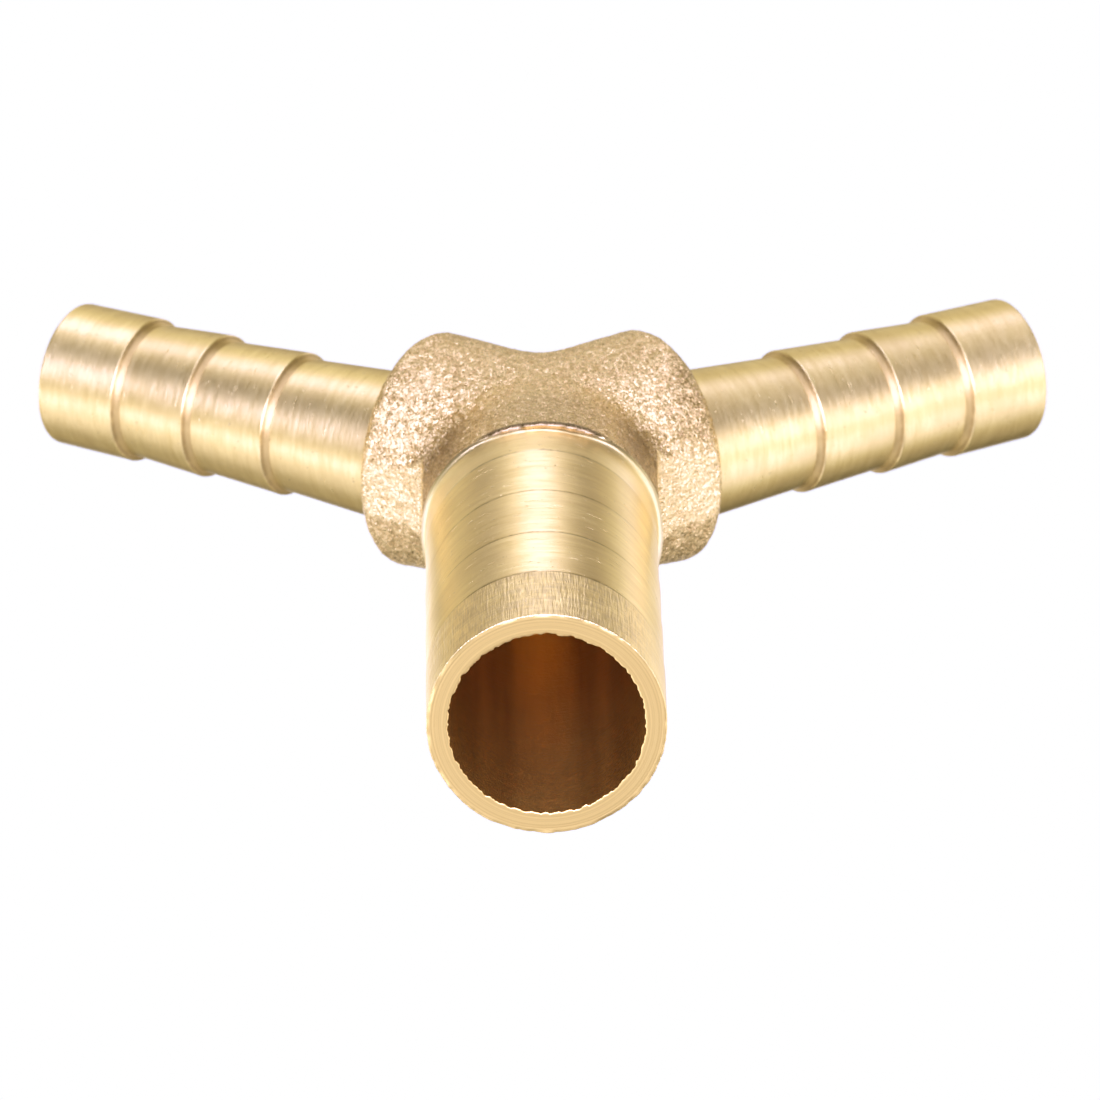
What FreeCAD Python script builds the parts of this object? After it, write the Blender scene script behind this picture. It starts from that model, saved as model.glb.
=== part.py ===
import FreeCAD, Part
import math
import os
import Sketcher
import PartDesign  # noqa: F401  (registers the PartDesign features)

# Brass reducing Y connector for hoses: one large barbed inlet and two smaller
# barbed outlets, 120 degrees apart, around a rough forged hub.
#
# Frame: the origin is the point where the three flow axes cross, +Z is normal
# to the plane of the Y, the inlet runs along -Y and the outlets run along the
# directions at 30 and 150 degrees from +X. Every distance called "s" below is
# measured from the origin outwards along its own leg. Millimetres.

V = FreeCAD.Vector
doc = FreeCAD.newDocument("BarbedWye")

# ---------------------------------------------------------------- dimensions
# alias, value or formula, meaning
DIMS = [
    ("leg_count", 3, "hub: legs around Z"),
    ("inlet_angle", -90, "direction of the inlet from +X, degrees"),
    ("right_angle", "=inlet_angle + 360 / leg_count", "direction of the right outlet"),
    ("left_angle", "=right_angle + 360 / leg_count", "direction of the left outlet"),

    ("leg_radius", 5.40, "hub: outer radius of each forged leg"),
    ("leg_stock", 7.60, "hub: length of each leg as forged, before facing"),
    ("skin_offset", 0.58, "hub: the forged skin's centre is this far along +Y"),
    ("crotch_fillet", 2.60, "hub: fillet in the valleys between legs"),
    ("rim_fillet", 0.80, "hub: rounded outer rim of each outlet collar"),
    ("inlet_face_s", 6.10, "hub: s of the faced shoulder on the inlet leg"),
    ("outlet_face_s", 6.90, "hub: s of the two outlet collar faces"),
    ("inlet_seat_s", 3.60, "hub: s of the inlet socket's floor"),
    ("outlet_seat_s", 3.90, "hub: s of the outlet sockets' floors"),
    ("drill_cone", 2.57, "hub: depth of the inlet's drill point past the origin"),
    ("face_relief", 3.00, "hub: radial reach of a facing cut beyond the leg"),
    ("cut_overrun", 2.00, "hub: reach of a cut past leg_stock, along the leg"),

    ("inlet_bore", 4.275, "inlet: bore radius"),
    ("inlet_spigot", 4.75, "inlet: spigot radius = socket radius"),
    ("inlet_root", 5.16, "inlet: radius where the barb meets the shoulder"),
    ("inlet_low", 5.13, "inlet: radius at the foot of each barb"),
    ("inlet_crest", 5.20, "inlet: crest radius"),
    ("inlet_land", 0.30, "inlet: cylindrical land on each crest"),
    ("inlet_step", 0.12, "inlet: axial run of the step on a crest's hub side"),
    ("inlet_crest_a", 8.35, "inlet: s of the crest nearest the hub"),
    ("inlet_crest_b", 12.71, "inlet: s of the second crest"),
    ("inlet_crest_c", 17.14, "inlet: s of the third crest"),
    ("inlet_crest_d", 21.28, "inlet: s of the outermost crest"),
    ("inlet_tip_radius", 5.18, "inlet: radius at the end face"),
    ("inlet_tip", 25.72, "inlet: s of the end face"),

    ("outlet_bore", 2.40, "outlet: bore radius"),
    ("outlet_spigot", 3.00, "outlet: spigot radius = socket radius"),
    ("outlet_root", 3.48, "outlet: radius where the barb meets the collar"),
    ("outlet_low", 3.07, "outlet: radius at the foot of each barb"),
    ("outlet_crest", 3.34, "outlet: crest radius"),
    ("outlet_land", 0.25, "outlet: cylindrical land on each crest"),
    ("outlet_step", 0.30, "outlet: axial run of the step on a crest's hub side"),
    ("outlet_crest_a", 13.01, "outlet: s of the crest nearest the hub"),
    ("outlet_crest_b", 17.24, "outlet: s of the second crest"),
    ("outlet_crest_c", 21.06, "outlet: s of the outermost crest"),
    ("outlet_tip_radius", 3.31, "outlet: radius at the end face"),
    ("outlet_tip", 25.06, "outlet: s of the end face"),
]
sheet = doc.addObject("Spreadsheet::Sheet", "Dims")
for row, (alias, value, meaning) in enumerate(DIMS, start=1):
    sheet.set("A%d" % row, meaning)
    sheet.set("B%d" % row, str(value))
    sheet.setAlias("B%d" % row, alias)
doc.recompute()

PLANE_TOLERANCE = 1e-3   # how far off an end plane an edge may stray
VOLUME_TOLERANCE = 1e-3  # least volume a step has to add or remove


def dim(alias):
    return float(sheet.get(alias))


# ------------------------------------------------------------------- helpers
def origin_feature(body, role):
    for feature in body.Origin.OriginFeatures:
        if feature.Role == role:
            return feature
    raise RuntimeError("no origin feature " + role)


def sketch_on(body, name, role):
    sketch = body.newObject("Sketcher::SketchObject", name)
    sketch.AttachmentSupport = [(origin_feature(body, role), "")]
    sketch.MapMode = "FlatFace"
    return sketch


def value_of(expression):
    """Number for a sum or difference of Dims aliases and plain numbers."""
    total = 0.0
    for term in expression.replace("-", "+-").split("+"):
        if not term:
            continue
        sign = -1.0 if term.startswith("-") else 1.0
        term = term.lstrip("-")
        size = dim(term[len("Dims."):]) if term.startswith("Dims.") else float(term)
        total += sign * size
    return total


def closed_profile(sketch, corners):
    """Closed polygon. Each corner is (name, x expression, y expression); both
    coordinates become named driving constraints bound to the sheet."""
    points = [V(value_of(x), value_of(y), 0) for _, x, y in corners]
    count = len(points)
    for i in range(count):
        sketch.addGeometry(Part.LineSegment(points[i], points[(i + 1) % count]), False)
    for i in range(count):
        sketch.addConstraint(Sketcher.Constraint("Coincident", i, 2, (i + 1) % count, 1))
    for i, (name, x, y) in enumerate(corners):
        # zero_axis is the sketch axis on which this coordinate is zero
        for kind, suffix, expression, value, zero_axis in (
            ("DistanceX", "_x", x, points[i].x, -2),
            ("DistanceY", "_y", y, points[i].y, -1),
        ):
            if abs(value) < 1e-9:
                # a zero length can't drive, so the point is held on the axis
                sketch.addConstraint(Sketcher.Constraint("PointOnObject", i, 1, zero_axis))
                continue
            index = sketch.addConstraint(Sketcher.Constraint(kind, -1, 1, i, 1, value))
            sketch.renameConstraint(index, name + suffix)
            sketch.setExpression("Constraints." + name + suffix, expression)


def finish_step(body, feature, grows):
    """Make the feature the body's tip; it must add (or remove) material."""
    before = feature.BaseFeature.Shape.Volume if feature.BaseFeature else body.Tip.Shape.Volume
    body.Tip = feature
    doc.recompute()
    change = feature.Shape.Volume - before
    if (change if grows else -change) <= VOLUME_TOLERANCE:
        raise RuntimeError(feature.Name + (" added nothing" if grows else " removed nothing"))


# ----------------------------------------------------------------------- hub
# The body's own frame is centred on the forged skin. The machined axes cross
# skin_offset towards -Y from there, and the body's Placement puts that
# crossing on the origin.
CROSSING = V(0, -dim("skin_offset"), 0)

# corner coordinates shared by the cuts
CUT_END = "Dims.leg_stock+Dims.cut_overrun"
FACING_RADIUS = "Dims.leg_radius+Dims.face_relief"


def unit(angle_alias):
    angle = math.radians(dim(angle_alias))
    return V(math.cos(angle), math.sin(angle), 0)


OUTLET_DIRECTIONS = [unit("right_angle"), unit("left_angle")]
LEG_DIRECTIONS = [unit("inlet_angle")] + OUTLET_DIRECTIONS


def lies_in_end(edge, directions, distance, start):
    """True when every sample of the edge lies in a plane at the distance from
    start, square to one of the directions."""
    span = edge.LastParameter - edge.FirstParameter
    samples = [edge.valueAt(edge.FirstParameter + span * k / 8.0) for k in range(9)]
    return any(
        max(abs((p - start).dot(d) - distance) for p in samples) < PLANE_TOLERANCE
        for d in directions
    )


def is_valley(edge):
    """Neither on a forged leg end nor a cylinder's straight seam."""
    on_end = lies_in_end(edge, LEG_DIRECTIONS, dim("leg_stock"), V(0, 0, 0))
    return not on_end and edge.Curve.TypeId != "Part::GeomLine"


def is_outlet_rim(edge):
    return lies_in_end(edge, OUTLET_DIRECTIONS, dim("outlet_face_s"), CROSSING)


def fillet_hub(hub, name, wanted, radius_alias, grows):
    """Fillet those edges of the hub so far for which wanted(edge) is true."""
    base = hub.Tip
    edges = ["Edge%d" % n for n, edge in enumerate(base.Shape.Edges, start=1) if wanted(edge)]
    fillet = hub.newObject("PartDesign::Fillet", name)
    fillet.Base = (base, edges)
    fillet.Radius = dim(radius_alias)
    fillet.setExpression("Radius", "Dims." + radius_alias)
    finish_step(hub, fillet, grows)


def cut_leg(hub, name, angle_alias, corners):
    """Revolved cut along the leg in the given direction. The sketch's own X
    axis is turned onto the leg's axis."""
    sketch = sketch_on(hub, name + "Profile", "XY_Plane")
    sketch.AttachmentOffset = FreeCAD.Placement(
        CROSSING, FreeCAD.Rotation(V(0, 0, 1), dim(angle_alias))
    )
    sketch.setExpression("AttachmentOffset.Base.y", "-Dims.skin_offset")
    closed_profile(sketch, corners)
    doc.recompute()
    groove = hub.newObject("PartDesign::Groove", name)
    groove.Profile = sketch
    groove.ReferenceAxis = (sketch, ["H_Axis"])
    groove.Angle = 360
    finish_step(hub, groove, grows=False)


def forge_legs(hub):
    """One leg padded along -Y, then patterned around Z."""
    section = sketch_on(hub, "LegSection", "XZ_Plane")
    section.addGeometry(Part.Circle(V(0, 0, 0), V(0, 0, 1), dim("leg_radius")), False)
    section.addConstraint(Sketcher.Constraint("Coincident", 0, 3, -1, 1))
    index = section.addConstraint(Sketcher.Constraint("Radius", 0, dim("leg_radius")))
    section.renameConstraint(index, "leg_r")
    section.setExpression("Constraints.leg_r", "Dims.leg_radius")

    leg = hub.newObject("PartDesign::Pad", "Leg")
    leg.Profile = section
    leg.Length = dim("leg_stock")
    leg.setExpression("Length", "Dims.leg_stock")
    doc.recompute()
    # the pad follows the plane's normal; it has to run towards -Y
    if leg.Shape.BoundBox.YMax > 0.01:
        leg.Reversed = True
        doc.recompute()

    legs = hub.newObject("PartDesign::PolarPattern", "Legs")
    legs.Originals = [leg]
    legs.Axis = (origin_feature(hub, "Z_Axis"), [""])
    legs.Angle = 360
    legs.Occurrences = int(dim("leg_count"))
    legs.setExpression("Occurrences", "Dims.leg_count")
    finish_step(hub, legs, grows=True)


def make_hub():
    hub = doc.addObject("PartDesign::Body", "wye_hub")
    hub.Label = "wye_hub"
    forge_legs(hub)
    fillet_hub(hub, "ValleyFillets", is_valley, "crotch_fillet", grows=True)

    # outlet collars: faced, then their rims are rounded
    for side in ("right", "left"):
        cut_leg(hub, side.capitalize() + "Facing", side + "_angle", [
            ("axis", "Dims.outlet_face_s", "0"),
            ("faced", "Dims.outlet_face_s", FACING_RADIUS),
            ("clear", CUT_END, FACING_RADIUS),
            ("end", CUT_END, "0"),
        ])
    fillet_hub(hub, "RimFillets", is_outlet_rim, "rim_fillet", grows=False)

    # inlet: drill point, bore, socket for the spigot, and the facing cut that
    # leaves the shoulder the barb's root butts against
    cut_leg(hub, "InletBore", "inlet_angle", [
        ("point", "-Dims.drill_cone", "0"),
        ("cone", "0", "Dims.inlet_bore"),
        ("floor", "Dims.inlet_seat_s", "Dims.inlet_bore"),
        ("socket", "Dims.inlet_seat_s", "Dims.inlet_spigot"),
        ("mouth", "Dims.inlet_face_s", "Dims.inlet_spigot"),
        ("faced", "Dims.inlet_face_s", FACING_RADIUS),
        ("clear", CUT_END, FACING_RADIUS),
        ("axis", CUT_END, "0"),
    ])
    # outlets: bore from the crossing and socket for the spigot
    for side in ("right", "left"):
        cut_leg(hub, side.capitalize() + "Bore", side + "_angle", [
            ("centre", "0", "0"),
            ("start", "0", "Dims.outlet_bore"),
            ("floor", "Dims.outlet_seat_s", "Dims.outlet_bore"),
            ("socket", "Dims.outlet_seat_s", "Dims.outlet_spigot"),
            ("mouth", CUT_END, "Dims.outlet_spigot"),
            ("axis", CUT_END, "0"),
        ])

    hub.Placement = FreeCAD.Placement(-CROSSING, FreeCAD.Rotation())
    hub.setExpression("Placement.Base.y", "Dims.skin_offset")
    doc.recompute()
    return hub


# --------------------------------------------------------------------- barbs
def make_barb(name, kind, crests, angle_alias):
    """One turned tube: spigot, shoulder, a row of barbs whose sharp edges face
    the hub, and a plain tip. Its own frame has +X along the tube and the hub's
    origin at x = 0; the body's Placement turns it onto its leg."""
    prefix = "Dims." + kind + "_"
    corners = [
        ("seat_in", prefix + "seat_s", prefix + "bore"),
        ("seat_out", prefix + "seat_s", prefix + "spigot"),
        ("neck", prefix + "face_s", prefix + "spigot"),
        ("root", prefix + "face_s", prefix + "root"),
    ]
    for letter in crests:
        crest_s = prefix + "crest_" + letter
        corners += [
            ("foot_" + letter, crest_s + "-" + prefix + "step", prefix + "low"),
            ("edge_" + letter, crest_s, prefix + "crest"),
            ("land_" + letter, crest_s + "+" + prefix + "land", prefix + "crest"),
        ]
    corners += [
        ("tip_out", prefix + "tip", prefix + "tip_radius"),
        ("tip_in", prefix + "tip", prefix + "bore"),
    ]

    body = doc.addObject("PartDesign::Body", name)
    body.Label = name
    sketch = sketch_on(body, name + "_profile", "XY_Plane")
    closed_profile(sketch, corners)
    doc.recompute()
    turned = body.newObject("PartDesign::Revolution", name + "_turned")
    turned.Profile = sketch
    turned.ReferenceAxis = (sketch, ["H_Axis"])
    turned.Angle = 360
    body.Tip = turned
    body.Placement = FreeCAD.Placement(
        V(0, 0, 0), FreeCAD.Rotation(V(0, 0, 1), dim(angle_alias))
    )
    doc.recompute()
    return body


# --------------------------------------------------------------------- build
pieces = [
    make_hub(),
    make_barb("inlet_barb", "inlet", "abcd", "inlet_angle"),
    make_barb("outlet_barb_right", "outlet", "abc", "right_angle"),
    make_barb("outlet_barb_left", "outlet", "abc", "left_angle"),
]

# -------------------------------------------------------------- check, write
doc.recompute()
for obj in doc.Objects:
    if "Invalid" in obj.State or "Error" in obj.State:
        raise RuntimeError("failed object: " + obj.Name + " " + str(obj.State))

for piece in pieces:
    shape = piece.Shape
    if shape.isNull() or not shape.isValid():
        raise RuntimeError("bad shape: " + piece.Label)
    if len(shape.Solids) != 1:
        raise RuntimeError(piece.Label + " has %d solids" % len(shape.Solids))

os.makedirs("parts", exist_ok=True)
for piece in pieces:
    piece.Shape.exportStep("parts/" + piece.Label + ".step")
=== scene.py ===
# A brass Y-shaped hose fitting: a forged hub with three turned barbed tubes.
# The legs' axes cross at the origin in the XY plane. The inlet points to the front (-Y), the two
# outlets point back at 30 degrees from +X and -X, and +Z is up. Shapes are worked out in
# millimetres; a "station" is a distance along a leg's axis from the crossing.
import math

import bpy
import numpy as np
from mathutils import Matrix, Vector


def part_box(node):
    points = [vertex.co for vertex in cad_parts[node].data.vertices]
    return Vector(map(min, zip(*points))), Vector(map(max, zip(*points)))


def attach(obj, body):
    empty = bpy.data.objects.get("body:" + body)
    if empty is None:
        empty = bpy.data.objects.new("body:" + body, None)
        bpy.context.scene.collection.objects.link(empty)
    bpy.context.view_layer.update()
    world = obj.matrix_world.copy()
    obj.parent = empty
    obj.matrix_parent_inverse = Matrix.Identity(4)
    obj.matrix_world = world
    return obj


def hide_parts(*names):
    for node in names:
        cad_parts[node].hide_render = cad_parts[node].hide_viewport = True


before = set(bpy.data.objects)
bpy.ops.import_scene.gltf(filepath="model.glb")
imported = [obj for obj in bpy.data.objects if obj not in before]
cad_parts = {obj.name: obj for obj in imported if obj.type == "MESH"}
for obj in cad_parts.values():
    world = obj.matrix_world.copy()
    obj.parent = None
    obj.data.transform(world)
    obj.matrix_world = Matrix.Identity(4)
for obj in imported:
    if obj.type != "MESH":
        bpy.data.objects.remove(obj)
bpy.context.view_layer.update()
scene = bpy.context.scene
MM = 0.001

# ---------------------------------------------------------------- driving dimensions
C30, S30 = math.cos(math.radians(30)), math.sin(math.radians(30))
SIN60, COS60 = math.sin(math.radians(60)), 0.5

SHOULDER = 6.1              # station of the hub's flat face round the inlet
INLET_BORE_R = 4.275
INLET_SPIGOT_R = 4.75       # hidden end of the inlet tube, and its socket in the hub
INLET_SPIGOT_END = 3.60
INLET_TIP = -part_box("inlet_barb")[0][1] / MM

OUTLET_BORE_R = 2.4
OUTLET_SPIGOT_R = 3.0
OUTLET_SPIGOT_END = 3.9
OUTLET_RIM_R = 3.31         # outer radius at the tip, to place it from the piece's box
OUTLET_TIP = (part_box("outlet_barb_right")[1][0] / MM - OUTLET_RIM_R * S30) / C30

# Barbs, hub to tip: station of the crest, radius of the crest, radius just before its step
INLET_BARBS = ((8.35, 5.19, 5.15), (12.71, 5.20, 5.145), (17.14, 5.20, 5.15), (21.28, 5.195, 5.155))
OUTLET_BARBS = ((13.01, 3.335, 3.06), (17.24, 3.335, 3.06), (21.06, 3.355, 3.075))
INLET_CRESTS = [barb[0] for barb in INLET_BARBS]
OUTLET_CRESTS = [barb[0] for barb in OUTLET_BARBS]


# ---------------------------------------------------------------- seeded noise and easing
def lattice_hash(cell, seed):
    """A fixed random value in -1..1 for each uint32 lattice point (..., 3)."""
    n = (cell[..., 0] * np.uint32(374761393) + cell[..., 1] * np.uint32(668265263)
         + cell[..., 2] * np.uint32(2246822519) + np.uint32((seed * 3266489917) & 0xFFFFFFFF))
    n = (n ^ (n >> np.uint32(13))) * np.uint32(1274126177)
    n = n ^ (n >> np.uint32(16))
    n = (n ^ (n >> np.uint32(11))) * np.uint32(2654435761)
    n = n ^ (n >> np.uint32(15))
    return n.astype(np.float64) / 4294967295.0 * 2 - 1


def noise(x, y, z, seed):
    """Smooth value noise in -1..1; the coordinates broadcast together."""
    points = np.stack(np.broadcast_arrays(x, y, z), -1)
    cell = np.floor(points).astype(np.int64)
    f = points - cell
    blend = f * f * f * (f * (f * 6 - 15) + 10)
    cell = (cell + 4096).astype(np.uint32)      # keeps negative places positive
    total = 0
    for corner in np.ndindex(2, 2, 2):
        weight = np.where(corner, blend, 1 - blend).prod(axis=-1)
        total = total + weight * lattice_hash(cell + np.array(corner, np.uint32), seed)
    return total


def noise1(x, seed):
    return noise(x, seed * 17.3 + 0.5, 0, seed)


def smooth(x):
    x = np.clip(x, 0, 1)
    return x * x * (3 - 2 * x)


def rise(x, start, width):
    """Eases from 0 to 1 as x passes from start to start + width."""
    return smooth((x - start) / width)


def fall(x, end, width):
    """Eases from 1 to 0 as x passes from end - width to end."""
    return smooth((end - x) / width)


def bell(offset, width):
    return np.exp(-(offset / width) ** 2)


def quarter_round(x):
    """Rise of a near-circular fillet, from 0 at x = 0 to almost 1 at x = 1."""
    return 1 - np.sqrt(1 - 0.999 * x ** 2)


# ---------------------------------------------------------------- mesh helpers
def quad_object(name, vertices, quads):
    mesh = bpy.data.meshes.new(name)
    mesh.vertices.add(len(vertices))
    mesh.vertices.foreach_set("co", (vertices * MM).astype(np.float32).ravel())
    mesh.loops.add(quads.size)
    mesh.loops.foreach_set("vertex_index", quads.astype(np.int32).ravel())
    mesh.polygons.add(len(quads))
    mesh.polygons.foreach_set("loop_start", np.arange(0, quads.size, 4, dtype=np.int32))
    mesh.update(calc_edges=True)
    mesh.validate()
    mesh.polygons.foreach_set("use_smooth", np.ones(len(quads), bool))
    mesh.update()
    item = bpy.data.objects.new(name, mesh)
    scene.collection.objects.link(item)
    return item


def add_attributes(mesh, **values):
    for name, value in values.items():
        attribute = mesh.attributes.new(name, "FLOAT", "POINT")
        attribute.data.foreach_set("value", value.astype(np.float32).ravel())


def surface_nets(field, origin, pitch):
    """Vertices and quads of the zero level of a field sampled on a grid, negative inside."""
    inside = field < 0
    nx, ny, nz = field.shape
    count = sum(inside[i:nx - 1 + i, j:ny - 1 + j, k:nz - 1 + k].astype(np.int8)
                for i, j, k in np.ndindex(2, 2, 2))
    crossed = (count > 0) & (count < 8)
    cells = np.argwhere(crossed)
    number = -np.ones(crossed.shape, np.int64)
    number[crossed] = np.arange(len(cells))

    # one vertex per crossed cell, at the mean of the crossings on its twelve edges
    total, hits = np.zeros((len(cells), 3)), np.zeros(len(cells))
    quads = []
    for axis in range(3):
        first, second = [other for other in range(3) if other != axis]
        for u, v in np.ndindex(2, 2):
            start = [0, 0, 0]
            start[first], start[second] = u, v
            end = list(start)
            end[axis] = 1
            at_start = field[tuple((cells + start).T)]
            at_end = field[tuple((cells + end).T)]
            crosses = (at_start < 0) != (at_end < 0)
            point = np.zeros((len(cells), 3))
            point[:] = start
            point[:, axis] += np.where(
                crosses, at_start / np.where(crosses, at_start - at_end, 1), 0)
            total += point * crosses[:, None]
            hits += crosses

        # one quad across each crossed grid edge along this axis
        lower, upper = [slice(None)] * 3, [slice(None)] * 3
        lower[axis], upper[axis] = slice(0, -1), slice(1, None)
        below, above = inside[tuple(lower)], inside[tuple(upper)]
        edges = np.argwhere(below != above)
        forward = below[tuple(edges.T)]
        if axis == 1:
            forward = ~forward
        corners = []
        for u, v in ((1, 1), (0, 1), (0, 0), (1, 0)):
            neighbour = edges.copy()
            neighbour[:, first] -= u
            neighbour[:, second] -= v
            corners.append(number[tuple(neighbour.T)])
        quad = np.stack(corners, 1)
        quads.append(np.where(forward[:, None], quad, quad[:, ::-1]))
    return (cells + total / hits[:, None]) * pitch + origin, np.concatenate(quads)


# ---------------------------------------------------------------- the forged hub
# Skin: three equal round legs with rolling-ball valleys, sitting a little off the machined axes
SKIN_R = 5.4034
SKIN_EDGE_R = 0.60                      # rounding of the legs' ends
SKIN_LEGS = ((-90, 9.0), (30, 6.45), (150, 6.67))           # bearing, length; inlet first
SKIN_VALLEYS = ((90, 4.374), (-30, 2.6), (-150, 2.6))       # bearing, ball radius; back first
SKIN_SHIFT = np.array([0.0014, 0.585, 0.0732])
SKIN_ROLL = -0.0158                     # radians about Y
SKIN_TAPER = -0.0764                    # share of height added at the crossing
SKIN_TAPER_REACH = 6.7                  # distance at which the height is unchanged

# Sheared flats on the outlet legs' front flanks:
# side, distance of the flat from the outlet leg's axis, |x| at which it starts
SHEAR = ((1, 5.17, 5.13), (-1, 5.26, 5.46))

SHOULDER_SLOPE, SHOULDER_FLAT_R = 0.27, 5.16    # back slope of the shoulder, outside this radius
INLET_DRILL_APEX = 2.57                 # y of the point of the drill cone ending the inlet bore

HUB_LOW, HUB_HIGH = np.array([-9.0, -6.6, -6.2]), np.array([9.0, 9.4, 6.2])
NORMAL_STEP = 0.03


def skin_field(x, y, z):
    """Signed distance, roughly, to the ideal skin in its own frame."""
    field = np.inf
    for bearing, length in SKIN_LEGS:
        dx, dy = math.cos(math.radians(bearing)), math.sin(math.radians(bearing))
        along = x * dx + y * dy
        across = x * dy - y * dx
        over_side = np.sqrt(across * across + z * z) - (SKIN_R - SKIN_EDGE_R)
        over_end = along - (length - SKIN_EDGE_R)
        leg = (np.sqrt(np.maximum(over_side, 0) ** 2 + np.maximum(over_end, 0) ** 2)
               + np.minimum(np.maximum(over_side, over_end), 0) - SKIN_EDGE_R)
        ball = np.sqrt(x * x + y * y + z * z) - SKIN_R
        field = np.minimum(field, np.where(along >= 0, leg, ball))
    for bearing, ball_r in SKIN_VALLEYS:
        dx, dy = math.cos(math.radians(bearing)), math.sin(math.radians(bearing))
        along = x * dx + y * dy
        across = x * -dy + y * dx
        # the ball's centre runs on an ellipse; Newton steps find its nearest point
        a, b = (SKIN_R + ball_r) / SIN60, SKIN_R + ball_r
        turn = np.arctan2(z / b, np.maximum(along, 1e-3) / a)
        for _ in range(6):
            cos, sin = np.cos(turn), np.sin(turn)
            slope = (a * cos - along) * (-a * sin) + (b * sin - z) * (b * cos)
            bend = (a * a * sin * sin + b * b * cos * cos
                    + (a * cos - along) * (-a * cos) + (b * sin - z) * (-b * sin))
            bend = np.where(np.abs(bend) < 1e-3, 1e-3, bend)
            turn = np.clip(turn - np.clip(slope / bend, -0.3, 0.3), -1.5707, 1.5707)
        centre, height = a * np.cos(turn), b * np.sin(turn)
        distance = np.sqrt((along - centre) ** 2 + (z - height) ** 2 + across * across)
        # vector from the ball's centre to its foot on a neighbouring leg's axis
        to_along = centre * COS60 ** 2 - centre
        to_across = centre * COS60 * SIN60
        to_z = -height
        reach = np.sqrt(to_along * to_along + to_z * to_z)
        depth = ((along - centre) * to_along + (z - height) * to_z) / reach
        in_wedge = ((depth > 0) & (np.abs(across) <= depth * np.abs(to_across) / reach)
                    & (along > 0.2))
        field = np.where(in_wedge & (distance < ball_r * 3), ball_r - distance, field)
    return field


def placed_skin_field(x, y, z):
    x, y, z = x - SKIN_SHIFT[0], y - SKIN_SHIFT[1], z - SKIN_SHIFT[2]
    cos, sin = math.cos(SKIN_ROLL), math.sin(SKIN_ROLL)
    x, z = x * cos - z * sin, x * sin + z * cos
    z = z / (1 + SKIN_TAPER * (1 - np.sqrt(x * x + y * y) / SKIN_TAPER_REACH))
    return skin_field(x, y, z)


def outlet_front(x, y, side):
    """Distance in front of the skin's outlet axis on one side."""
    return (x - SKIN_SHIFT[0]) * side * S30 - (y - SKIN_SHIFT[1]) * C30


def above_shoulder(y, inlet_r):
    return y + SHOULDER - SHOULDER_SLOPE * np.maximum(inlet_r - SHOULDER_FLAT_R, 0)


def hub_field(x, y, z):
    field = placed_skin_field(x, y, z)
    for side, cut, wall in SHEAR:
        field = np.maximum(field, np.minimum(outlet_front(x, y, side) - cut, x * side - wall))
    inlet_r = np.sqrt(x * x + z * z)
    field = np.maximum(field, -above_shoulder(y, inlet_r))
    socket = np.maximum(inlet_r - INLET_SPIGOT_R, y + INLET_SPIGOT_END)
    bore = np.maximum(inlet_r - INLET_BORE_R, y)
    cone_r = INLET_BORE_R - np.maximum(y, 0) * INLET_BORE_R / INLET_DRILL_APEX
    cone = np.maximum(inlet_r - cone_r, y - INLET_DRILL_APEX)
    hollow = np.minimum(np.minimum(socket, bore), cone)
    for side in (1, -1):
        along = x * side * C30 + y * S30
        across = x * S30 - y * side * C30
        r = np.sqrt(across * across + z * z)
        hollow = np.minimum(hollow, np.maximum(r - OUTLET_SPIGOT_R, OUTLET_SPIGOT_END - along))
        hollow = np.minimum(hollow, np.maximum(r - OUTLET_BORE_R, -along))
    return np.maximum(field, -hollow)


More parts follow.
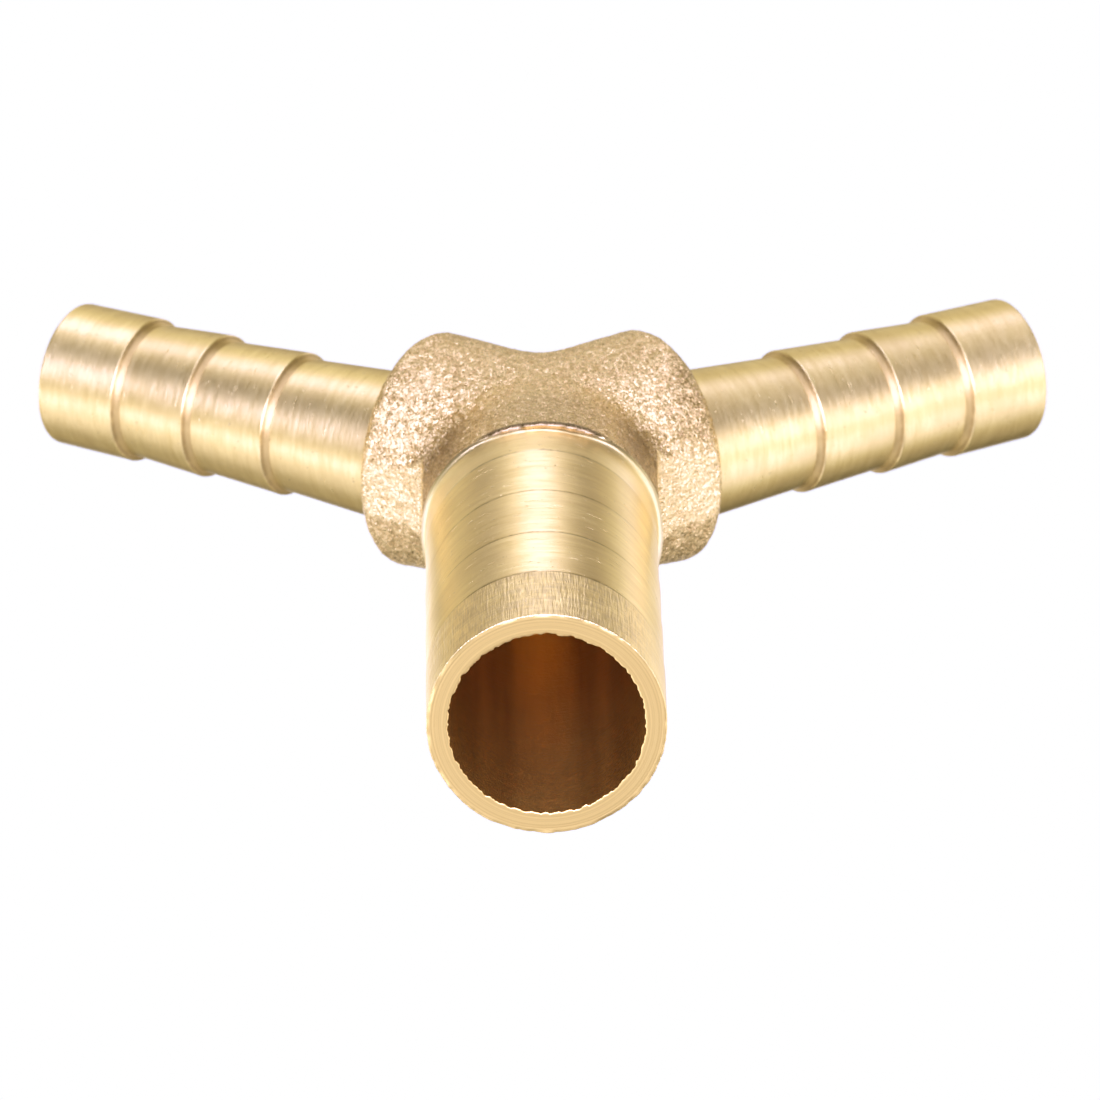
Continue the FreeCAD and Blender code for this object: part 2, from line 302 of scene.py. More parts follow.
def build_hub():
    pitch = 0.118
    ranges = [np.arange(low, high, pitch) for low, high in zip(HUB_LOW, HUB_HIGH)]
    samples = hub_field(*np.meshgrid(*ranges, indexing="ij"))
    points, quads = surface_nets(samples, HUB_LOW, pitch)
    normals = np.stack([hub_field(*(points + step).T) - hub_field(*(points - step).T)
                        for step in np.eye(3) * NORMAL_STEP], 1)
    normals /= np.linalg.norm(normals, axis=1)[:, None] + 1e-9

    # where each vertex lies: outside skin (0 in the bores), shoulder face, sheared flats
    x, y, z = points.T
    on_skin = rise(placed_skin_field(x, y, z), start=-1.3, width=0.10)
    inlet_r = np.hypot(x, z)
    face = fall(np.abs(above_shoulder(y, inlet_r)), end=0.05, width=0.05)
    face = face * (normals[:, 1] < -0.8) * (inlet_r < 5.75)
    flat = np.zeros(len(points))
    for side, cut, wall in SHEAR:
        near = rise(outlet_front(x, y, side) - cut, start=-0.04, width=0.03)
        flat = np.maximum(flat, near * (x * side > wall - 0.02))
    rough_skin = on_skin * (1 - face)

    # blasted grain, broad lumps, and streaks along the sheared flats
    grain = (0.62 * noise(*(points / 0.18).T, 11) + 0.30 * noise(*(points / 0.12 + 7).T, 12)
             + 0.35 * noise(*(points / 0.40 + 3).T, 13))
    lump = 0.6 * noise(*(points / 1.6).T, 21) + 0.4 * noise(*(points / 0.8).T, 22)
    streak = noise(x / 0.9, y / 0.9, z / 0.16, 31)
    relief = (1 - 0.45 * flat) * 0.030 * grain + 0.022 * lump + flat * 0.035 * streak
    points = points + normals * (rough_skin * relief)[:, None]
    x, y, z = points.T      # views: moving them moves the points

    # ragged lip round the inlet root
    angle = np.arctan2(z, x)
    on_lip = fall(np.abs(y + SHOULDER - 0.06), end=0.20, width=0.20) * on_skin
    on_lip = on_lip * rise(inlet_r, start=5.28, width=0.08) * (inlet_r < 5.8)
    lip = 0.05 + 0.05 * noise1(angle * 6.5, 41) + 0.04 * noise1(angle * 21, 42)
    y -= on_lip * np.clip(lip, 0, 1)
    x += on_lip * 0.4 * lip * np.cos(angle)
    z += on_lip * 0.4 * lip * np.sin(angle)

    # painted shade in the crooks on both flanks of the inlet leg, fainter all round it
    from_top = np.degrees(np.arctan2(np.abs(x), z))
    wall = np.where(x > 0, SHEAR[0][2], SHEAR[1][2]) + 0.25
    crook = (rise(from_top, start=26, width=26) * fall(y, end=-1.2, width=1.8)
             * fall(np.abs(x), end=wall + 0.35, width=0.35))
    around = 0.30 * fall(y, end=-1.0, width=2.5) * fall(inlet_r, end=6.4, width=0.7)
    crook = np.maximum(crook, around)
    # painted shade on the rim of the shoulder, on its top only
    seat = (rise(inlet_r, start=4.9, width=0.1) * (np.abs(y + SHOULDER) < 0.30)
            * (1 - rise(from_top, start=24, width=14)))
    # painted shade on top of the outlet legs' ends, stronger on the right
    dull = rise(x, start=5.2, width=1.4) * rise(z, start=1.9, width=1.0)
    dull_left = 0.35 * fall(x, end=-6.3, width=1.0) * rise(z, start=3.0, width=1.0)
    dull = np.maximum(dull, dull_left)

    hub = quad_object("hub_forging", points, quads)
    add_attributes(hub.data, skin=rough_skin, flat=flat, grain=grain,
                   crook=crook * (1 - 0.8 * flat), seat=seat, dull=dull)
    return hub


# ---------------------------------------------------------------- turned barbs
def section(*points):
    """A run of (radius, station) points as two rows."""
    return np.array(points).T


def face_section(outer_r, inner_r, count, station):
    return np.stack([np.linspace(outer_r, inner_r, count), np.full(count, station)])


def bore_section(radius, start, stop, step):
    stations = np.arange(start, stop, step)
    return np.stack([np.full(len(stations), radius), stations])


class Turning:
    """A closed profile turned about a leg's axis: grids of one row per profile point."""

    def __init__(self, segments, outer, edge, face, mouth, bore, spigot):
        sections = (outer, edge, face, mouth, bore, spigot)
        sizes = [part.shape[1] for part in sections]
        radius, station = np.concatenate(sections, axis=1)
        part = np.repeat(np.arange(6), sizes)[:, None]
        self.is_outer = part == 0
        self.is_face = part == 2
        # zones: 0 outside, 1 end face with its inner rim, 2 bore, 3 hidden spigot
        zone_sizes = [sizes[0] + sizes[1], sizes[2] + 1, sizes[3] - 1 + sizes[4], sizes[5]]
        self.zone = np.repeat(np.repeat(np.arange(4.0), zone_sizes), segments)
        self.radius = np.repeat(radius[:, None], segments, 1)
        self.station = np.repeat(station[:, None], segments, 1)
        angles = np.arange(segments) * (2 * math.pi / segments)
        self.angle = np.repeat(angles[None, :], len(radius), 0)
        self.cos, self.sin = np.cos(self.angle), np.sin(self.angle)

    def ring_noise(self, stretch, place, seed):
        """Noise that varies round the leg only."""
        return noise(self.cos * stretch, self.sin * stretch, place, seed)

    def build(self, name, axis, across, offset=0.0):
        """Makes the object; offset shifts the rings along the across direction."""
        up = np.array([0., 0., 1.])
        points = (self.station[..., None] * axis
                  + (self.radius * self.cos + offset)[..., None] * across
                  + (self.radius * self.sin)[..., None] * up).reshape(-1, 3)
        rows, segments = self.radius.shape
        i, j = np.meshgrid(np.arange(rows), np.arange(segments), indexing="ij")
        next_i, next_j = (i + 1) % rows, (j + 1) % segments
        quads = np.stack([i * segments + j, i * segments + next_j,
                          next_i * segments + next_j, next_i * segments + j], -1).reshape(-1, 4)
        # a negative volume means the quads face inwards
        corner = points[quads[:, 0]]
        cross = np.cross(points[quads[:, 1]] - corner, points[quads[:, 3]] - corner)
        if np.einsum("ij,ij->i", corner, cross).sum() < 0:
            quads = quads[:, ::-1]
        item = quad_object(name, points, quads)
        around = -self.sin[..., None] * across + self.cos[..., None] * up
        attribute = item.data.attributes.new("around", "FLOAT_VECTOR", "POINT")
        attribute.data.foreach_set("vector", around.astype(np.float32).ravel())
        add_attributes(item.data, along=self.station, turn_c=self.cos, turn_s=self.sin,
                       radius=self.radius, zone=self.zone)
        return item


def sawtooth(s, barbs, root, tip, width):
    """Outer radius at stations s: a step up at each crest, then a cone down towards the tip.
    root and tip are (station, radius); width is the length of each step."""
    r = np.empty_like(s)
    first_crest, _, first_low = barbs[0]
    root_s, root_r = root
    share = np.clip((s - root_s) / (first_crest - root_s), 0, 1)
    before = s < first_crest
    r[before] = (root_r + (first_low - root_r) * share)[before]
    ends = [(crest, low) for crest, _, low in barbs[1:]] + [tip]
    for (crest, crest_r, _), (end, end_r) in zip(barbs, ends):
        on_cone = (s >= crest) & (s <= end + 1e-9)
        share = (s - crest) / (end - crest)
        r[on_cone] = (crest_r + (end_r - crest_r) * share)[on_cone]
    for crest, crest_r, low_r in barbs:
        x = np.clip((s - (crest - width)) / width, 0, 1)
        on_step = (x > 0) & (x < 1)
        r[on_step] = (low_r + (crest_r - low_r) * (1 - np.sqrt(1 - x ** 2.2)))[on_step]
    return r


def station_grid(start, end, crests, coarse, fine, reach):
    """Stations from start to end, finer within reach of each crest."""
    runs = [np.arange(start, end, coarse), [end]]
    for crest in crests:
        runs.append(np.arange(max(start, crest - reach), min(end, crest + reach), fine))
    stations = np.unique(np.round(np.concatenate(runs), 4))
    kept = [stations[0]]
    for station in stations[1:]:
        if station - kept[-1] > fine * 0.6:
            kept.append(station)
    return np.array(kept)


def inlet_turning():
    tip = INLET_TIP
    s = station_grid(SHOULDER, tip - 0.10, INLET_CRESTS, coarse=0.16, fine=0.022, reach=0.12)
    root_run = np.arange(SHOULDER, SHOULDER + 0.81, 0.05)
    s = np.unique(np.round(np.concatenate([s[s > SHOULDER + 0.82], root_run]), 4))
    r = sawtooth(s, INLET_BARBS, root=(SHOULDER, 5.165), tip=(tip, 5.178), width=0.12)
    # a fine groove where each step meets the cone before it
    for crest in INLET_CRESTS:
        r -= 0.026 * bell(s - (crest - 0.10), 0.065)
    # the root flares into the shoulder
    r += 0.10 * quarter_round(np.clip((SHOULDER + 0.20 - s) / 0.20, 0, 1))
    bore_r, spigot_r, spigot_end = INLET_BORE_R, INLET_SPIGOT_R, INLET_SPIGOT_END
    return Turning(
        320,
        outer=np.stack([r, s]),
        edge=section((5.176, tip - 0.06), (5.165, tip - 0.025), (5.14, tip - 0.006)),
        face=face_section(5.11, 4.33, 17, tip),
        mouth=section((4.305, tip - 0.004), (4.283, tip - 0.02), (bore_r, tip - 0.05),
                      (bore_r, tip - 0.10), (bore_r, tip - 0.18)),
        bore=bore_section(bore_r, tip - 0.34, 3.75, -0.30),
        spigot=section((bore_r, 3.62), (4.29, spigot_end), (4.5, spigot_end),
                       (4.72, spigot_end), (spigot_r, 3.62),
                       *((spigot_r, station) for station in (3.8, 4.3, 4.8, 5.3, 5.8)),
                       (4.755, SHOULDER + 0.02), (4.9, SHOULDER - 0.001),
                       (5.12, SHOULDER - 0.001)))


def build_inlet():
    t = inlet_turning()
    tip = INLET_TIP
    # slow waviness and tool marks; the marks stop just before the last crest
    waves = noise(t.cos * 2.2, t.sin * 2.2, t.station * 0.45, 51)
    marks = noise1(t.station * 6.5, 52) * 0.6 + noise1(t.station * 14.0, 53) * 0.4
    t.radius += t.is_outer * (0.006 * waves + 0.0022 * marks * (t.station < 21.25))
    # lengthwise chatter on the tip section
    chatter = noise(t.angle * 5.2 / 0.17, t.station * 0.55, 0, 54)
    t.radius += t.is_outer * rise(t.station, start=21.32, width=0.1) * 0.0045 * chatter
    # the end face's inner edge is torn, its outer edge slightly raised
    inner_edge = bell(t.radius - 4.29, 0.07) * (t.station > tip - 0.15)
    torn = 0.35 * t.ring_noise(13, 55, 55) + 0.65 * t.ring_noise(33, 56, 56)
    t.radius -= inner_edge * (0.035 + 0.085 * torn)
    outer_edge = bell(t.station - (tip - 0.02), 0.04) * (t.radius > 5.08)
    burr = 0.5 * t.ring_noise(8, 58, 58) + 0.5 * t.ring_noise(26, 60, 60)
    t.radius += outer_edge * (0.022 + 0.030 * burr)
    t.station += outer_edge * 0.03 * burr
    # the corner with the shoulder is blended on the flanks, less on the left
    from_top = np.abs((np.degrees(t.angle) + 90) % 360 - 180)
    blend = rise(from_top, start=14, width=26) * (1 - 0.4 * rise(from_top, start=62, width=24))
    blend = blend * np.where(t.cos > 0, 1.0, 0.62)
    corner = quarter_round(np.clip((SHOULDER + 0.80 - t.station) / 0.80, 0, 1))
    t.radius += t.is_outer * blend * 0.33 * corner
    # faint rings on the end face
    t.station += t.is_face * 0.0018 * noise1(t.radius * 15, 59)
    # the tube leans a touch sideways: offset at the crossing, and offset per mm
    lean = -0.17 + t.station * 0.00816
    return t.build("inlet_barb_turned", np.array([0., -1., 0.]), np.array([1., 0., 0.]), lean)


def outlet_turning():
    tip = OUTLET_TIP
    s = station_grid(6.75, tip - 0.16, OUTLET_CRESTS, coarse=0.12, fine=0.03, reach=0.55)
    r = sawtooth(s, OUTLET_BARBS, root=(6.9, 3.49), tip=(tip, 3.30), width=0.34)
    # the crests' edges are broken
    for crest in OUTLET_CRESTS:
        r -= 0.018 * bell(s - crest, 0.035)
    bore_r, spigot_r, spigot_end = OUTLET_BORE_R, OUTLET_SPIGOT_R, OUTLET_SPIGOT_END
    return Turning(
        240,
        outer=np.stack([r, s]),
        edge=section((3.298, tip - 0.10), (3.278, tip - 0.045), (3.235, tip - 0.012)),
        face=face_section(3.19, 2.46, 11, tip),
        mouth=section((2.435, tip - 0.006), (2.41, tip - 0.03), (bore_r, tip - 0.08),
                      (bore_r, tip - 0.2)),
        bore=bore_section(bore_r, tip - 0.5, 4.1, -0.40),
        spigot=section((bore_r, 3.92), (2.42, spigot_end), (2.97, spigot_end), (spigot_r, 3.92),
                       *((spigot_r, station) for station in (4.2, 4.9, 5.6, 6.2)),
                       (3.02, 6.6), (3.3, 6.73)))


def build_outlet(name, side, seed):
    t = outlet_turning()
    waves = noise(t.cos * 1.6 + seed, t.sin * 1.6, t.station * 0.35, 61 + seed)
    marks = (noise1(t.station * 5.5, 62 + seed) * 0.6
             + noise1(t.station * 12.0, 63 + seed) * 0.4)
    t.radius += t.is_outer * (0.006 * waves + 0.0030 * marks)
    # torn inner edge of the end face
    inner_edge = bell(t.station - (OUTLET_TIP - 0.01), 0.03) * (t.radius < 2.6)
    t.radius -= inner_edge * (0.015 + 0.03 * t.ring_noise(9, seed, 64))
    return t.build(name, np.array([side * C30, S30, 0.]),
                   np.array([S30, -side * C30, 0.]) * side)


# ---------------------------------------------------------------- node helpers
class Wire:
    """A node's output; + - * add the matching math nodes."""

    def __init__(self, graph, socket):
        self.graph, self.socket = graph, socket

    def __add__(self, other):
        return self.graph.math("ADD", self, other)

    def __sub__(self, other):
        return self.graph.math("SUBTRACT", self, other)

    def __rsub__(self, other):
        return self.graph.math("SUBTRACT", other, self)

    def __mul__(self, other):
        return self.graph.math("MULTIPLY", self, other)


class Graph:
    def __init__(self, tree):
        self.tree = tree
        tree.nodes.clear()

    def feed(self, socket, value):
        if isinstance(value, Wire):
            self.tree.links.new(value.socket, socket)
        else:
            socket.default_value = (*value, 1.0) if socket.type == "RGBA" else value

    def node(self, kind, inputs=None, **settings):
        """Adds a node; inputs maps socket names or places to wires or values."""
        node = self.tree.nodes.new(kind)
        for key, value in settings.items():
            setattr(node, key, value)
        for key, value in (inputs or {}).items():
            self.feed(node.inputs[key], value)
        return node

    def wire(self, kind, inputs=None, output=0, **settings):
        return Wire(self, self.node(kind, inputs, **settings).outputs[output])

    def math(self, operation, a, b=0.0, c=0.0, clamp=False):
        return self.wire("ShaderNodeMath", {0: a, 1: b, 2: c},
                         operation=operation, use_clamp=clamp)

    def attribute(self, name, output="Fac"):
        return self.wire("ShaderNodeAttribute", output=output, attribute_name=name)

    def point_mm(self):
        position = self.wire("ShaderNodeNewGeometry", output="Position")
        return self.scale(position, 1 / MM)

    def xyz(self, x, y, z):
        return self.wire("ShaderNodeCombineXYZ", {0: x, 1: y, 2: z})

    def noise(self, vector, scale=1.0, detail=2.0, rough=0.5):
        return self.wire("ShaderNodeTexNoise", {"Vector": vector, "Scale": scale,
                                                "Detail": detail, "Roughness": rough}, "Fac")

    def ramp(self, factor, stops):
        """Linear colour ramp; stops are (position, colour)."""
        node = self.node("ShaderNodeValToRGB", {"Fac": factor})
        elements = node.color_ramp.elements
        while len(elements) < len(stops):
            elements.new(0.5)
        for element, (position, colour) in zip(elements, stops):
            element.position = position
            element.color = (*colour, 1)
        return Wire(self, node.outputs["Color"])

    def remap(self, value, span, to=(0.0, 1.0)):
        return self.wire("ShaderNodeMapRange",
                         {0: value, 1: span[0], 2: span[1], 3: to[0], 4: to[1]}, clamp=True)

    def mix(self, factor, base, tint):
        return self.wire("ShaderNodeMix", {"Factor": factor, 6: base, 7: tint}, 2,
                         data_type="RGBA")

    def scale(self, vector, factor):
        return self.wire("ShaderNodeVectorMath", {0: vector, "Scale": factor},
                         operation="SCALE")

    def add_vectors(self, a, b):
        return self.wire("ShaderNodeVectorMath", {0: a, 1: b}, operation="ADD")

    def bump(self, height, distance, strength=1.0):
        return self.wire("ShaderNodeBump",
                         {"Height": height, "Distance": distance, "Strength": strength})


def metal_material(name):
    material = bpy.data.materials.new(name)
    material.use_nodes = True
    g = Graph(material.node_tree)
    output = g.node("ShaderNodeOutputMaterial")
    bsdf = g.node("ShaderNodeBsdfPrincipled", {"Metallic": 1.0})
    g.feed(output.inputs[0], Wire(g, bsdf.outputs[0]))
    return material, g, bsdf


# ---------------------------------------------------------------- materials
def forged_material():
    material, g, bsdf = metal_material("forged_brass_blasted")
    point = g.point_mm()
    skin, flat, grain = g.attribute("skin"), g.attribute("flat"), g.attribute("grain")
    broad = g.noise(point, scale=0.9, detail=3.0)
    medium = g.noise(point, scale=4.5, detail=3.0, rough=0.6)
    fine = g.noise(point, scale=9.0, detail=3.0, rough=0.65)

    def cells(scale, offset):
        node = g.node("ShaderNodeTexVoronoi", {"Vector": g.add_vectors(point, offset),
                                               "Scale": scale, "Randomness": 1.0})
        return Wire(g, node.outputs["Color"]), Wire(g, node.outputs["Distance"])

    big, big_distance = cells(scale=6.6, offset=(0.0, 0.0, 0.0))
    small, small_distance = cells(scale=11.5, offset=(3.1, 1.7, 0.4))
    red = g.wire("ShaderNodeSeparateColor", {0: big}, output=0)
    green = g.wire("ShaderNodeSeparateColor", {0: small}, output=1)

    # browner in the pits of the grain, brighter on the tops
    top = g.remap(grain * 0.8 + (red + green - 1.0), span=(-0.9, 0.9))
    colour = g.mix(top, (0.68, 0.445, 0.185), (1.0, 0.775, 0.37))
    # bright medium blotches, dark fine specks, broad warm patches
    colour = g.mix(g.remap(medium, span=(0.42, 0.62), to=(0.0, 0.35)), colour,
                   (0.98, 0.73, 0.34))
    colour = g.mix(g.remap(fine, span=(0.42, 0.32), to=(0.0, 0.70)), colour,
                   (0.38, 0.235, 0.095))
    colour = g.mix(g.remap(broad, span=(0.45, 0.70), to=(0.0, 0.30)), colour,
                   (0.92, 0.67, 0.31))
    # painted shade in the crooks, bright sheared flats
    colour = g.mix(g.attribute("crook") * 0.85, colour,
                   g.mix(top, (0.21, 0.135, 0.065), (0.52, 0.37, 0.18)))
    colour = g.mix(flat * 0.45, colour, (1.0, 0.765, 0.36))
    # painted shade on top of the outlet legs' ends
    colour = g.mix(g.attribute("dull") * 0.85, colour,
                   g.mix(top, (0.36, 0.235, 0.09), (0.70, 0.50, 0.21)))
    # clean brass off the skin, then the painted shade on the shoulder's rim
    colour = g.mix(skin, (0.93, 0.72, 0.34), colour)
    colour = g.mix(g.attribute("seat") * 0.9, colour, (0.17, 0.11, 0.05))
    g.feed(bsdf.inputs["Base Color"], colour)
    g.feed(bsdf.inputs["Roughness"], g.remap(fine, span=(0.35, 0.65), to=(0.22, 0.38)))

    # each grain of the blasted skin leans its own way, less on the flats
    centre = (-0.5, -0.5, -0.5)
    lean = g.add_vectors(g.scale(g.add_vectors(big, centre), 0.56),
                         g.scale(g.add_vectors(small, centre), 0.62))
    lean = g.scale(lean, skin * (1.0 - flat * 0.45))
    height = g.noise(point, scale=4.6, detail=3.0, rough=0.62) + fine * 0.6
    height = height - (big_distance + small_distance) * 0.5
    bumped = g.bump(height, distance=0.00008, strength=skin * 1.0)
    normal = g.wire("ShaderNodeVectorMath", {0: g.add_vectors(bumped, lean)},
                    operation="NORMALIZE")
    g.feed(bsdf.inputs["Normal"], normal)
    return material


# Painted reflections streaked round the bore: share of the half turn up from the bottom wall,
# brightness
BORE_REFLECTION_STREAKS = ((0.0, 1.0), (0.085, 0.95), (0.125, 0.35), (0.17, 0.45), (0.215, 0.85),
                (0.25, 0.30), (0.40, 0.10), (1.0, 0.5))


def bore_look(g, point, along, cos, sin, turn, mouth_span):
    """Colour and relief of the drilled bore: dark brown, partly oxide and partly painted shade,
    streaked with painted reflections, rougher towards its mouth.
    """
    from_bottom = g.math("ABSOLUTE", g.math("ARCTAN2", cos * 1.0, sin * -1.0))
    # painted reflections as streaks round the bore
    streak = g.ramp(from_bottom * (1.0 / 3.1416),
                    [(place, (level,) * 3) for place, level in BORE_REFLECTION_STREAKS])
    drag = g.noise(g.xyz(turn * 7.0, along * 0.12, 0.0), detail=3.0, rough=0.6)
    streak = g.math("ADD", streak, (drag - 0.5) * 0.9, clamp=True)
    colour = g.mix(streak, (0.55, 0.29, 0.065), (0.84, 0.47, 0.11))
    grain = g.noise(point, scale=6.0, detail=3.0, rough=0.6)
    mouth = (g.remap(along, span=mouth_span)
             * g.remap(from_bottom, span=(0.45, 0.9), to=(0.35, 1.0)))
    colour = g.mix(mouth * g.remap(grain, span=(0.40, 0.62), to=(0.2, 0.9)), colour,
                   (0.30, 0.155, 0.045))
    return colour, grain, mouth


def turned_material(name, crests, tip_from, root_to, line_offset, line_width, line_strength,
                    line_shade_colour, mouth_span, relief, step_width):
    """Lathe-turned brass.
    tip_from, root_to: stations where the duller tip section starts and the root's painted highlight
    ends
    line_*: the painted shade line lying line_offset before each crest
    mouth_span: stations over which the bore roughens; relief: bump distance in metres
    step_width: length of the coarse climb to each crest, 0 for none"""
    material, g, bsdf = metal_material(name)
    along, radius, zone = g.attribute("along"), g.attribute("radius"), g.attribute("zone")
    point = g.point_mm()
    cos, sin = g.attribute("turn_c"), g.attribute("turn_s")
    turn = g.math("ARCTAN2", cos, sin)          # 0 on top of the leg, the join is underneath
    sideways = g.math("ABSOLUTE", cos)

    def ring_noise(across, lengthwise, detail, rough):
        """Noise with one frequency round the leg and another along it."""
        place = g.xyz(g.math("MULTIPLY_ADD", cos, across, 5.37),
                      g.math("MULTIPLY_ADD", sin, across, 9.71),
                      g.math("MULTIPLY_ADD", along, lengthwise, 0.43))
        return g.noise(place, detail=detail, rough=rough)

    is_face = g.math("COMPARE", zone, 1.0, 0.4)
    is_bore = g.math("GREATER_THAN", zone, 1.4)
    is_outside = g.math("LESS_THAN", zone, 0.6)

    # tool marks, broad blotches
    lines = ring_noise(across=1.7, lengthwise=2.9, detail=6.0, rough=0.72)
    fine = ring_noise(across=3.5, lengthwise=9.0, detail=3.0, rough=0.6)
    blotch = g.noise(point, scale=0.45, detail=3.0, rough=0.55)
    colour = g.mix(g.remap(lines, span=(0.36, 0.64)), (0.85, 0.635, 0.26), (1.0, 0.785, 0.355))
    colour = g.mix(g.remap(blotch, span=(0.42, 0.66), to=(0.0, 0.6)), colour,
                   (0.84, 0.63, 0.28))
    # scratches that cross the marks at a slant, and small pits
    slant = g.xyz(turn * 2.2 + along * 0.9, along * 6.5, 3.0)
    scratch = g.remap(g.noise(slant, scale=1.6), span=(0.70, 0.74))
    pit = g.remap(g.noise(point, scale=5.0), span=(0.30, 0.24))
    colour = g.mix(pit * 0.55, colour, (0.42, 0.28, 0.12))

    # painted shade: a dark line in the corner under each barb, broken up along its length
    wobble = (ring_noise(across=6.0, lengthwise=0.0, detail=3.0, rough=0.6) - 0.5) * 0.05
    line = None
    for crest in crests:
        away = along + wobble - (crest - line_offset)
        peak = g.math("EXPONENT", away * away * (-1.0 / line_width ** 2))
        line = peak if line is None else line + peak
    breaks = ring_noise(across=7.0, lengthwise=0.2, detail=4.0, rough=0.75)
    line = line * g.remap(breaks, span=(0.36, 0.56), to=(0.40, 1.0)) * is_outside
    colour = g.mix(g.math("MULTIPLY", line, line_strength, clamp=True), colour, line_shade_colour)

    # painted shade: a darker colour on the climb to each crest
    step = None
    for crest in crests if step_width else ():
        climb = g.math("COMPARE", along, crest - step_width / 2, step_width / 2)
        step = climb if step is None else step + climb
    if step is not None:
        colour = g.mix(step * 0.6, colour, (0.62, 0.44, 0.18))

    # tip section: duller finish, crossed by fine chatter along the axis; it is left off the flanks,
    # a painted highlight there
    tip = g.remap(along + wobble, span=(tip_from, tip_from + 0.05)) * is_outside
    hatch = g.noise(g.xyz(turn * 52.0, along * 0.8, 0.0), rough=0.6)
    crossing = (hatch * 0.6
                + ring_noise(across=4.0, lengthwise=7.0, detail=3.0, rough=0.6) * 0.4)
    off_flank = g.remap(sideways, span=(0.72, 0.93), to=(1.0, 0.0))
    colour = g.mix(tip * off_flank * g.remap(crossing, span=(0.42, 0.60), to=(0.0, 0.85)),
                   colour, (0.66, 0.495, 0.24))

    # end face with fine rings, then the bore
    rings = g.noise(g.xyz(radius * 17.0, 0.37, 0.61), detail=3.0, rough=0.6)
    colour = g.mix(is_face, colour, g.mix(g.remap(rings, span=(0.38, 0.62)),
                                          (0.83, 0.57, 0.21), (0.99, 0.71, 0.275)))
    bore_colour, bore_grain, mouth = bore_look(g, point, along, cos, sin, turn, mouth_span)
    colour = g.mix(is_bore, colour, bore_colour)

    # root section: lighter colour, most of all on the flanks, a painted highlight
    root = g.remap(along + wobble, span=(root_to - 0.05, root_to), to=(1.0, 0.0)) * is_outside
    colour = g.mix(root * g.remap(sideways, span=(0.30, 0.80), to=(0.10, 0.50)), colour,
                   (1.0, 0.84, 0.48))
    g.feed(bsdf.inputs["Base Color"], colour)

    # highlights stretched across the tool marks
    stretch = 0.9 - tip * 0.18 - is_face * 0.90 - root * 0.45 - is_bore * 0.35
    g.feed(bsdf.inputs["Tangent"], g.attribute("around", "Vector"))
    g.feed(bsdf.inputs["Anisotropic"], stretch)
    g.feed(bsdf.inputs["Anisotropic Rotation"], 0.25)

    rough = g.remap(fine, span=(0.3, 0.7), to=(0.28, 0.36)) - is_face * 0.04 + tip * 0.05
    if step is not None:
        rough = rough + step * 0.22
    rough = rough + root * 0.05 + is_bore * 0.06 + scratch * is_outside * -0.1
    rough = rough * (1.0 - is_face) + is_face * 0.29      # one value on the end face
    g.feed(bsdf.inputs["Roughness"], rough)

    height = g.mix(is_face, lines * 1.0 + fine * 0.5, rings * 0.35)
    height = height + hatch * tip * 2.3
    height = height - scratch * is_outside * 0.8 - pit * is_outside * 1.2
    bore_relief = bore_grain * is_bore * g.math("MULTIPLY_ADD", mouth, 1.0, 0.12)
    height = height + bore_relief * 8.0
    g.feed(bsdf.inputs["Normal"], g.bump(height, distance=relief))
    return material


# ---------------------------------------------------------------- the fitting
hub = build_hub()
inlet = build_inlet()
right = build_outlet("outlet_barb_right_turned", side=1, seed=3)
left = build_outlet("outlet_barb_left_turned", side=-1, seed=5)

forged = forged_material()
turned_inlet = turned_material(
    "turned_brass_inlet", INLET_CRESTS, tip_from=21.20, root_to=8.30,
    line_offset=0.10, line_width=0.105, line_strength=0.92, line_shade_colour=(0.22, 0.14, 0.055),
    mouth_span=(17.0, 25.0), relief=0.000017, step_width=0.0)
# the outlets have no duller tip section and no painted root highlight: both stations lie off the
# tube
turned_outlet = turned_material(
    "turned_brass_outlet", OUTLET_CRESTS, tip_from=99.0, root_to=0.0,
    line_offset=0.035, line_width=0.05, line_strength=0.85, line_shade_colour=(0.32, 0.20, 0.085),
    mouth_span=(20.0, 25.0), relief=0.000008, step_width=0.35)

for item, material, node, slot in (
        (hub, forged, "wye_hub", "forged_brass"),
        (inlet, turned_inlet, "inlet_barb", "turned_brass"),
        (right, turned_outlet, "outlet_barb_right", "turned_brass"),
        (left, turned_outlet, "outlet_barb_left", "turned_brass")):
    item.data.materials.append(material)
    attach(item, "root")
    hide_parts(node)

# ---------------------------------------------------------------- camera
CAMERA_BEARING, CAMERA_PITCH, CAMERA_ROLL = -0.1773, 24.4127, 0.2218     # degrees
# the crossing as seen by the camera, in mm: to the right, down, ahead
CROSSING_SEEN = (-0.2982, -3.1543, 442.10)


def view_axes(bearing, pitch, roll):
    """Right, down and forward directions of a view looking towards +Y and down."""
    forward = np.array([-math.sin(bearing) * math.cos(pitch),
                        math.cos(bearing) * math.cos(pitch), -math.sin(pitch)])
    right = np.cross(forward, [0, 0, 1])
    right /= np.linalg.norm(right)
    down = np.cross(forward, right)
    cos, sin = math.cos(roll), math.sin(roll)
    return cos * right + sin * down, -sin * right + cos * down, forward


